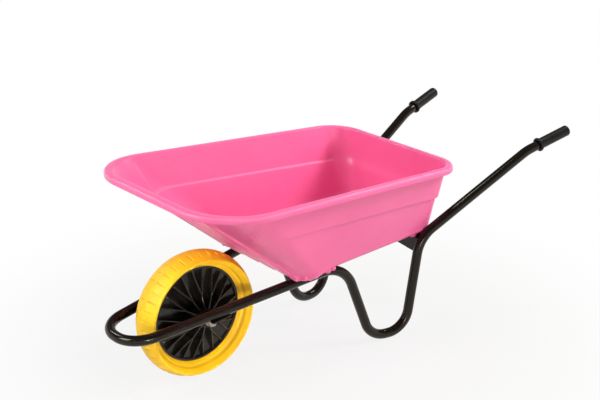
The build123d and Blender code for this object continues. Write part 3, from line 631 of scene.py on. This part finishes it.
def spoke_rib(start_radius, start_turn, end_radius, end_turn, start_half, end_half):
    """Thin moulded rib: a slim section with rounded edges carried in a straight line across the wheel."""
    share = np.linspace(0.0, 1.0, 9)[:, None]
    start = start_radius * np.array([np.cos(start_turn), np.sin(start_turn)])
    end = end_radius * np.array([np.cos(end_turn), np.sin(end_turn)])
    line = start + (end - start) * share
    side = unit(np.array([start[1] - end[1], end[0] - start[0]]))
    tall = spoke_height(np.linalg.norm(line, axis=1))[:, None]
    half = start_half + (end_half - start_half) * share
    turn = np.linspace(0.0, 2 * np.pi, 24, endpoint=False)[None]
    wide = np.sign(np.cos(turn)) * np.abs(np.cos(turn)) ** 0.45 * half
    high = np.sign(np.sin(turn)) * (tall - (1 - np.abs(np.sin(turn)) ** 0.45) * half)
    rows = np.stack([
        WHEEL_X + line[:, :1] + side[0] * wide,
        high,
        TYRE_RADIUS + line[:, 1:] + side[1] * wide,
    ], axis=-1)
    return skin(rows)


def hub_skins():
    """The turned rim, web and boss, and twelve spokes that fork halfway into two prongs."""
    shells = hub_turnings()
    prong = np.pi / SPOKES / 2
    inner_half, fork_half, outer_half = SPOKE_HALF_WIDTHS
    stem_end, prong_start = SPOKE_FORK_RADIUS + SPOKE_FORK_LAP, SPOKE_FORK_RADIUS - SPOKE_FORK_LAP
    prong_end = HUB_RIM_INSIDE + SPOKE_FORK_LAP
    for spoke in range(SPOKES):
        turn = 2 * np.pi * spoke / SPOKES + np.pi
        shells.append(spoke_rib(HUB_BOSS_RADIUS - 2.0, turn, stem_end, turn, inner_half, fork_half))
        for way in (1, -1):
            start_turn, end_turn = turn + way * SPOKE_FORK_TURN, turn + way * prong
            shells.append(spoke_rib(prong_start, start_turn, prong_end, end_turn, fork_half, outer_half))
    return shells


# Finishes

class Finish:
    """A node material with a principled shader, and short ways to add the nodes that feed it."""

    def __init__(self, name, **constants):
        self.material = bpy.data.materials.new(name)
        self.material.use_nodes = True
        self.tree = self.material.node_tree
        self.shader = self.tree.nodes["Principled BSDF"]
        for socket, value in constants.items():
            self.shader.inputs[socket.replace("_", " ")].default_value = value
        self.place = self.tree.nodes.new("ShaderNodeTexCoord").outputs["Object"]

    def feed(self, socket, output):
        """Link an output to a socket."""
        self.tree.links.new(output, socket)

    def noise(self, scale, detail):
        """Cloudy unevenness, fixed to the object."""
        node = self.tree.nodes.new("ShaderNodeTexNoise")
        node.inputs["Scale"].default_value = scale
        node.inputs["Detail"].default_value = detail
        node.inputs["Roughness"].default_value = 0.55
        self.feed(node.inputs["Vector"], self.place)
        return node.outputs["Fac"]

    def painted_light_and_shade(self):
        """Painted light from the mesh's own attribute: painted shade in the tyre's hollows, painted
        highlight on the tray's edges.
        """
        node = self.tree.nodes.new("ShaderNodeAttribute")
        node.attribute_name = "painted_light_and_shade"
        return node.outputs["Fac"]

    def ramp(self, factor, *stops):
        """Colour that runs between two stops, each a position and a colour, as the factor rises."""
        node = self.tree.nodes.new("ShaderNodeValToRGB")
        self.feed(node.inputs["Fac"], factor)
        for element, (position, colour) in zip(node.color_ramp.elements, stops):
            element.position = position
            element.color = (*colour, 1.0)
        return node.outputs["Color"]

    def blend(self, factor, first, colour):
        """First colour changed into a plain colour by the factor."""
        node = self.tree.nodes.new("ShaderNodeMix")
        node.data_type = "RGBA"
        self.feed(node.inputs[0], factor)
        self.feed(node.inputs[6], first)
        node.inputs[7].default_value = (*colour, 1.0)
        return node.outputs[2]

    def level(self, factor, low, high):
        """Factor from 0.3 to 0.7 stretched from low to high."""
        node = self.tree.nodes.new("ShaderNodeMapRange")
        self.feed(node.inputs["Value"], factor)
        node.inputs["From Min"].default_value = 0.3
        node.inputs["From Max"].default_value = 0.7
        node.inputs["To Min"].default_value = low
        node.inputs["To Max"].default_value = high
        return node.outputs["Result"]

    def colour(self, output):
        """Feed the base colour."""
        self.feed(self.shader.inputs["Base Color"], output)

    def gloss(self, output):
        """Feed the roughness."""
        self.feed(self.shader.inputs["Roughness"], output)

    def bump(self, *layers):
        """Feed the normal with layers of bump, each a height, a strength and a distance."""
        previous = None
        for height, strength, distance in layers:
            node = self.tree.nodes.new("ShaderNodeBump")
            node.inputs["Strength"].default_value = strength
            node.inputs["Distance"].default_value = distance
            self.feed(node.inputs["Height"], height)
            if previous:
                self.feed(node.inputs["Normal"], previous)
            previous = node.outputs["Normal"]
        self.feed(self.shader.inputs["Normal"], previous)


def tray_pink():
    """Moulded polyethylene: even pink, faintly mottled, with a painted highlight in paler pink on the rim's
    crest and the ledge's and pocket's edges, and a slow waviness.
    """
    finish = Finish("tray_pink_polyethylene", IOR=1.5)
    mottle = finish.noise(7.0, 4.0)
    speck = finish.noise(70.0, 2.0)
    pink = finish.ramp(mottle, (0.3, (0.86, 0.130, 0.335)), (0.7, (0.90, 0.150, 0.365)))
    specked = finish.blend(finish.level(speck, 0.0, 0.08), pink, (0.93, 0.20, 0.42))
    # Painted highlight: paler pink on the rim's crest and the ledge's and pocket's edges.
    finish.colour(finish.blend(finish.painted_light_and_shade(), specked, (1.0, 0.27, 0.48)))
    finish.gloss(finish.level(finish.noise(24.0, 4.0), 0.29, 0.36))
    finish.bump((finish.noise(9.0, 1.0), 0.10, 0.004), (finish.noise(90.0, 1.0), 0.02, 0.0005))
    return finish.material


def frame_black():
    """Gloss black paint on tube: a warm black with a little orange peel and dust."""
    warm = (1.0, 0.9, 0.78, 1.0)
    finish = Finish("frame_black_paint", IOR=1.5, Specular_IOR_Level=0.32, Specular_Tint=warm)
    tone = finish.noise(16.0, 4.0)
    finish.colour(finish.ramp(tone, (0.3, (0.0048, 0.0036, 0.0026)), (0.75, (0.0084, 0.0064, 0.0046))))
    finish.gloss(finish.level(finish.noise(60.0, 4.0), 0.13, 0.20))
    finish.bump((finish.noise(70.0, 1.0), 0.02, 0.0006))
    return finish.material


def tyre_yellow():
    """Foamed tyre: warm yellow with painted shade, deeper and more orange, in its grooves and sidewall
    hollow, and a dry fine grain.
    """
    finish = Finish("tyre_yellow_foam", IOR=1.48)
    mottle = finish.noise(26.0, 4.0)
    yellow = finish.ramp(mottle, (0.3, (0.96, 0.57, 0.008)), (0.7, (0.98, 0.62, 0.013)))
    # Painted shade: deeper orange in the grooves and the sidewall hollow.
    finish.colour(finish.blend(finish.painted_light_and_shade(), yellow, (0.82, 0.44, 0.008)))
    finish.gloss(finish.level(finish.noise(90.0, 3.0), 0.42, 0.56))
    finish.bump((finish.noise(140.0, 2.0), 0.05, 0.0006))
    return finish.material


def hub_black():
    """Ribbed black plastic, greyer where light dust lies, with a slight grain."""
    finish = Finish("hub_black_plastic", IOR=1.48, Specular_IOR_Level=0.4)
    dust = finish.noise(34.0, 5.0)
    finish.colour(finish.ramp(dust, (0.35, (0.006, 0.005, 0.004)), (0.8, (0.016, 0.013, 0.010))))
    finish.gloss(finish.level(finish.noise(40.0, 3.0), 0.17, 0.26))
    finish.bump((finish.noise(90.0, 1.0), 0.02, 0.0005))
    return finish.material


def grip_black():
    """Soft black vinyl with a dull sheen and a fine pebbled skin."""
    finish = Finish("grip_black_vinyl", IOR=1.48, Specular_IOR_Level=0.25)
    tone = finish.noise(40.0, 4.0)
    finish.colour(finish.ramp(tone, (0.3, (0.006, 0.005, 0.005)), (0.75, (0.012, 0.010, 0.009))))
    finish.gloss(finish.level(finish.noise(150.0, 3.0), 0.38, 0.52))
    finish.bump((finish.noise(220.0, 2.0), 0.08, 0.0005))
    return finish.material


def zinc_plate():
    """Bright zinc plating: pale metal with a faint warm cast and a fine brushed unevenness."""
    finish = Finish("zinc_plated_steel", Metallic=1.0)
    cast = finish.noise(70.0, 4.0)
    finish.colour(finish.ramp(cast, (0.3, (0.34, 0.31, 0.27)), (0.7, (0.46, 0.43, 0.39))))
    finish.gloss(finish.level(finish.noise(240.0, 4.0), 0.29, 0.42))
    finish.bump((finish.noise(900.0, 2.0), 0.06, 0.0003))
    return finish.material


def bush_nylon():
    """Moulded nylon: near black, waxy, with a fine grain."""
    finish = Finish("bush_black_nylon", IOR=1.5, Specular_IOR_Level=0.25)
    tone = finish.noise(90.0, 3.0)
    finish.colour(finish.ramp(tone, (0.3, (0.014, 0.013, 0.012)), (0.75, (0.024, 0.022, 0.020))))
    finish.gloss(finish.level(finish.noise(300.0, 3.0), 0.34, 0.46))
    finish.bump((finish.noise(900.0, 2.0), 0.08, 0.0003))
    return finish.material


# Pieces

paint = frame_black()
zinc = zinc_plate()
nylon = bush_nylon()

seat_shells = [
    seat_rib(x, base_height(x) - tube_height(x - SEAT_RIB_HALF_WIDTH))
    for x in SEAT_RIB_PLACES
]
seat_shells += [seat_rib(x, REAR_SEAT_DEPTH) for x in REAR_RIB_PLACES]
seat_shells += [seat_lobe(*lobe, LOBE_SINK, side) for lobe in LOBES for side in (1, -1)]
seat_shells += [seat_lobe(*lobe, REAR_LOBE_SINK, side) for lobe in REAR_LOBES for side in (1, -1)]
strap_drop = base_height(STRAP_X) - tube_height(STRAP_X) - STRAP_THICKNESS
boss_depths = (strap_drop, strap_drop, REAR_SEAT_DEPTH, REAR_SEAT_DEPTH)
boss_shells = [bolt_boss(x, y, depth) for (x, y), depth in zip(BOLT_PLACES, boss_depths)]
# Painted highlight on the tray's rim and edges; none on the seat ribs, lobes and bosses.
tub, painted_highlight = tray_shell()
underside = seat_shells + boss_shells
painted_highlight = np.concatenate([painted_highlight, np.zeros(sum(len(points) for points, _, _ in underside))])
lay("tray_moulding", [tub] + underside, "chassis", tray_pink(), ["tray"], painted_highlight)
bent_tube = skin(tube_along(frame_line(), TUBE_RADIUS, 48))
lay("frame_bent_tube", [bent_tube], "chassis", paint, ["frame_tube"])
vinyl = grip_black()
lay("grip_sleeve_left", [grip_skin(1)], "chassis", vinyl, ["grip_left"])
lay("grip_sleeve_right", [grip_skin(-1)], "chassis", vinyl, ["grip_right"])
# The tyre carries painted shade in its grooves and sidewall hollow.
tyre_shell, tyre_painted_shade = tyre_skin()
lay("tyre_grooved", [tyre_shell], "wheel", tyre_yellow(), ["tyre"], tyre_painted_shade)
lay("wheel_centre", hub_skins(), "wheel", hub_black(), ["wheel_hub"])

kept_finishes = {
    "rear_cross_brace": paint,
    "front_cross_strap": paint,
    "axle_bracket_left": paint,
    "axle_bracket_right": paint,
    "hub_bush_left": nylon,
    "hub_bush_right": nylon,
    "axle": zinc,
    "axle_spacer_left": zinc,
    "axle_spacer_right": zinc,
    "axle_washers": zinc,
    "axle_nuts": zinc,
    "tray_bolts": zinc,
    "tray_washers": zinc,
    "tray_lower_washers": zinc,
    "tray_nuts": zinc,
}
for node, finish in kept_finishes.items():
    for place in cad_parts[node].material_slots:
        place.material = finish


# Floor, light and camera

FLOOR_CENTRE = (0.05, 0.0)
FLOOR_RINGS = (0.4, 1.0, 2.0, 4.0)
FLOOR_SINK = 0.0005
FLOOR_MATT = (0.52, 0.51, 0.49, 1.0)
FLOOR_GLOW = 0.84
FLOOR_FADE = (0.45, 1.25)
ROOM_LIGHT = 0.15
CEILING = 0.12
CEILING_FADE = (0.12, 0.4)
WHITE = (1.0, 1.0, 1.0)
TRAY_MIDDLE = (0.0, 0.0, 0.3)
WHEEL_MIDDLE = (0.44, 0.0, 0.2)


def floor_sheet():
    """Flat pale disc under the barrow that melts into the white background towards its edge."""
    angle = np.linspace(0.0, 2 * np.pi, 96, endpoint=False)
    rings = np.array(FLOOR_RINGS)[:, None]
    grid = np.stack([
        FLOOR_CENTRE[0] + rings * np.cos(angle),
        FLOOR_CENTRE[1] + rings * np.sin(angle),
        np.full((len(FLOOR_RINGS), len(angle)), -FLOOR_SINK),
    ], axis=-1)
    rows, columns = grid.shape[:2]
    index = np.arange(rows * columns).reshape(rows, columns)
    ring = np.concatenate([index, index[:, :1]], axis=1)
    quads = np.stack([ring[:-1, :-1], ring[1:, :-1], ring[1:, 1:], ring[:-1, 1:]], axis=-1)
    quads = quads.reshape(-1, 4)
    mesh = bpy.data.meshes.new("floor")
    mesh.from_pydata(grid.reshape(-1, 3).tolist(), [], quads.tolist() + [index[0].tolist()])
    floor = bpy.data.objects.new("floor", mesh)
    bpy.context.scene.collection.objects.link(floor)
    return floor


def backdrop_rays(tree):
    """1 for rays that show the backdrop: the camera's, mirrored and passed-through ones. 0 for the rest."""
    rays = tree.nodes.new("ShaderNodeLightPath")
    total = rays.outputs["Is Camera Ray"]
    for kind in ("Is Glossy Ray", "Is Transmission Ray"):
        either = tree.nodes.new("ShaderNodeMath")
        either.operation = "MAXIMUM"
        tree.links.new(total, either.inputs[0])
        tree.links.new(rays.outputs[kind], either.inputs[1])
        total = either.outputs["Value"]
    return total


def floor_white():
    """Matt floor, shown near white, that keeps the shadow under the barrow and turns white further out."""
    material = bpy.data.materials.new("floor_white")
    material.use_nodes = True
    tree = material.node_tree
    tree.nodes.clear()
    output = tree.nodes.new("ShaderNodeOutputMaterial")
    matt = tree.nodes.new("ShaderNodeBsdfDiffuse")
    matt.inputs["Color"].default_value = FLOOR_MATT
    glow = tree.nodes.new("ShaderNodeEmission")
    mix = tree.nodes.new("ShaderNodeMixShader")
    place = tree.nodes.new("ShaderNodeTexCoord")
    centre = tree.nodes.new("ShaderNodeMapping")
    centre.inputs["Location"].default_value = (-FLOOR_CENTRE[0], -FLOOR_CENTRE[1], 0.0)
    length = tree.nodes.new("ShaderNodeVectorMath")
    length.operation = "LENGTH"
    fade = tree.nodes.new("ShaderNodeMapRange")
    fade.interpolation_type = "SMOOTHSTEP"
    fade.inputs["From Min"].default_value = FLOOR_FADE[0]
    fade.inputs["From Max"].default_value = FLOOR_FADE[1]
    fade.inputs["To Min"].default_value = FLOOR_GLOW
    shown = tree.nodes.new("ShaderNodeMath")
    shown.operation = "MULTIPLY"
    tree.links.new(place.outputs["Object"], centre.inputs["Vector"])
    tree.links.new(centre.outputs["Vector"], length.inputs[0])
    tree.links.new(length.outputs["Value"], fade.inputs["Value"])
    tree.links.new(fade.outputs["Result"], shown.inputs[0])
    tree.links.new(backdrop_rays(tree), shown.inputs[1])
    tree.links.new(shown.outputs["Value"], mix.inputs["Fac"])
    tree.links.new(matt.outputs["BSDF"], mix.inputs[1])
    tree.links.new(glow.outputs["Emission"], mix.inputs[2])
    tree.links.new(mix.outputs["Shader"], output.inputs["Surface"])
    return material


def studio_white():
    """White backdrop that dims to a dark ceiling overhead, and a softer white that lights the barrow."""
    world = bpy.data.worlds.new("studio")
    bpy.context.scene.world = world
    world.use_nodes = True
    tree = world.node_tree
    tree.nodes.clear()
    output = tree.nodes.new("ShaderNodeOutputWorld")
    seen = tree.nodes.new("ShaderNodeBackground")
    seen.inputs["Color"].default_value = (*WHITE, 1.0)
    way = tree.nodes.new("ShaderNodeTexCoord")
    parts = tree.nodes.new("ShaderNodeSeparateXYZ")
    dim = tree.nodes.new("ShaderNodeMapRange")
    dim.interpolation_type = "SMOOTHSTEP"
    dim.inputs["From Min"].default_value = CEILING_FADE[0]
    dim.inputs["From Max"].default_value = CEILING_FADE[1]
    dim.inputs["To Min"].default_value = 1.0
    dim.inputs["To Max"].default_value = CEILING
    tree.links.new(way.outputs["Generated"], parts.inputs["Vector"])
    tree.links.new(parts.outputs["Z"], dim.inputs["Value"])
    tree.links.new(dim.outputs["Result"], seen.inputs["Strength"])
    lit = tree.nodes.new("ShaderNodeBackground")
    lit.inputs["Color"].default_value = (*WHITE, 1.0)
    lit.inputs["Strength"].default_value = ROOM_LIGHT
    pick = tree.nodes.new("ShaderNodeMixShader")
    tree.links.new(backdrop_rays(tree), pick.inputs["Fac"])
    tree.links.new(lit.outputs["Background"], pick.inputs[1])
    tree.links.new(seen.outputs["Background"], pick.inputs[2])
    tree.links.new(pick.outputs["Shader"], output.inputs["Surface"])


floor_sheet().data.materials.append(floor_white())
studio_white()


def aim(place, target):
    """Matrix at a place that looks along its own -Z at the target, with +Y up."""
    back = unit(np.array(place) - np.array(target))
    right = unit(np.cross((0.0, 0.0, 1.0), back))
    lift = np.cross(back, right)
    return Matrix((
        (right[0], lift[0], back[0], place[0]),
        (right[1], lift[1], back[1], place[1]),
        (right[2], lift[2], back[2], place[2]),
        (0.0, 0.0, 0.0, 1.0),
    ))


def softbox(name, place, size, power, colour=WHITE, mirrored=True, target=TRAY_MIDDLE, spread=180.0):
    """Rectangular area lamp aimed at a target, which glossy surfaces mirror or not and a grid may narrow."""
    lamp = bpy.data.lights.new(name, "AREA")
    lamp.shape = "RECTANGLE"
    lamp.size, lamp.size_y = size
    lamp.energy = power
    lamp.color = colour
    lamp.spread = np.radians(spread)
    stand = bpy.data.objects.new(name, lamp)
    stand.matrix_world = aim(place, target)
    stand.visible_glossy = mirrored
    bpy.context.scene.collection.objects.link(stand)


softbox("key_softbox", (-2.4, 2.0, 2.6), (1.1, 1.1), 104.0, (1.0, 0.97, 0.94), mirrored=False)
softbox("front_softbox", (2.8, -0.5, 1.8), (1.3, 1.1), 56.0)
softbox("near_softbox", (-1.2, 3.2, 1.6), (1.4, 1.2), 27.0, mirrored=False)
softbox("far_softbox", (1.2, -2.6, 2.6), (0.7, 0.7), 18.0)
softbox("back_softbox", (-2.6, 0.2, 2.9), (0.6, 0.6), 26.0)
softbox("top_softbox", (0.1, 0.0, 3.3), (0.45, 0.45), 12.0)
softbox("low_softbox", (1.4, 3.0, 0.6), (1.1, 0.8), 22.0, (1.0, 0.95, 0.86))
softbox(
    "wheel_softbox", (1.5, 2.4, 0.5), (0.3, 0.3), 0.42, (1.0, 0.93, 0.80),
    target=WHEEL_MIDDLE, spread=14.0,
)

CAMERA_PLACE = (2265.5, 2562.6, 1636.4)
CAMERA_TARGET = (78.7, -18.0, 412.3)
CAMERA_ROLL = 0.014
CAMERA_SENSOR = 36.0
CAMERA_LENS = 75.97
camera = bpy.data.cameras.new("camera")
camera.sensor_fit = "HORIZONTAL"
camera.sensor_width = CAMERA_SENSOR
camera.lens = CAMERA_LENS
tripod = bpy.data.objects.new("camera", camera)
view = aim(np.array(CAMERA_PLACE) * MM, np.array(CAMERA_TARGET) * MM)
tripod.matrix_world = view @ Matrix.Rotation(CAMERA_ROLL, 4, "Z")
bpy.context.scene.collection.objects.link(tripod)
bpy.context.scene.camera = tripod
bpy.context.scene.view_settings.view_transform = "Standard"
